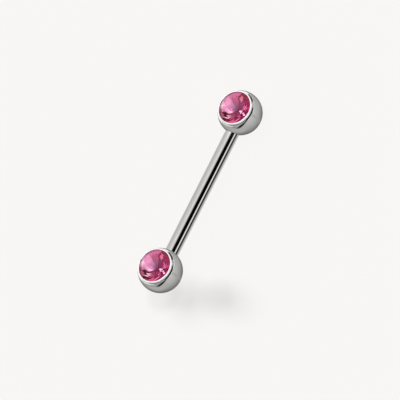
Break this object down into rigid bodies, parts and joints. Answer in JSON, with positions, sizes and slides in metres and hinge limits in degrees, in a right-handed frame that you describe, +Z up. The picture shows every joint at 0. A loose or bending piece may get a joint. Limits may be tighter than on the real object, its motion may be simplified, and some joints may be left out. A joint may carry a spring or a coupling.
{
  "type": "nipple barbell",
  "caption": "Straight steel barbell for a piercing, with a screw-on ball at each end and a pink cut stone in a raised bezel on each ball.",
  "frame": {"origin": "on the surface that the barbell lies on, under the middle of the bar", "axes": "+X along the bar, +Z up and out of the stones"},
  "size_m": [0.0248, 0.005, 0.0043],
  "materials": {
    "bar_steel": "mirror-polished surgical steel",
    "ball_steel": "polished surgical steel with fine buffing marks",
    "stone": "clear pink crystal, cut and polished"
  },
  "bodies": {
    "root": {"bar": "bar_steel", "ball_left": "ball_steel", "ball_right": "ball_steel", "stone_left": "stone", "stone_right": "stone"}
  },
  "joints": []
}
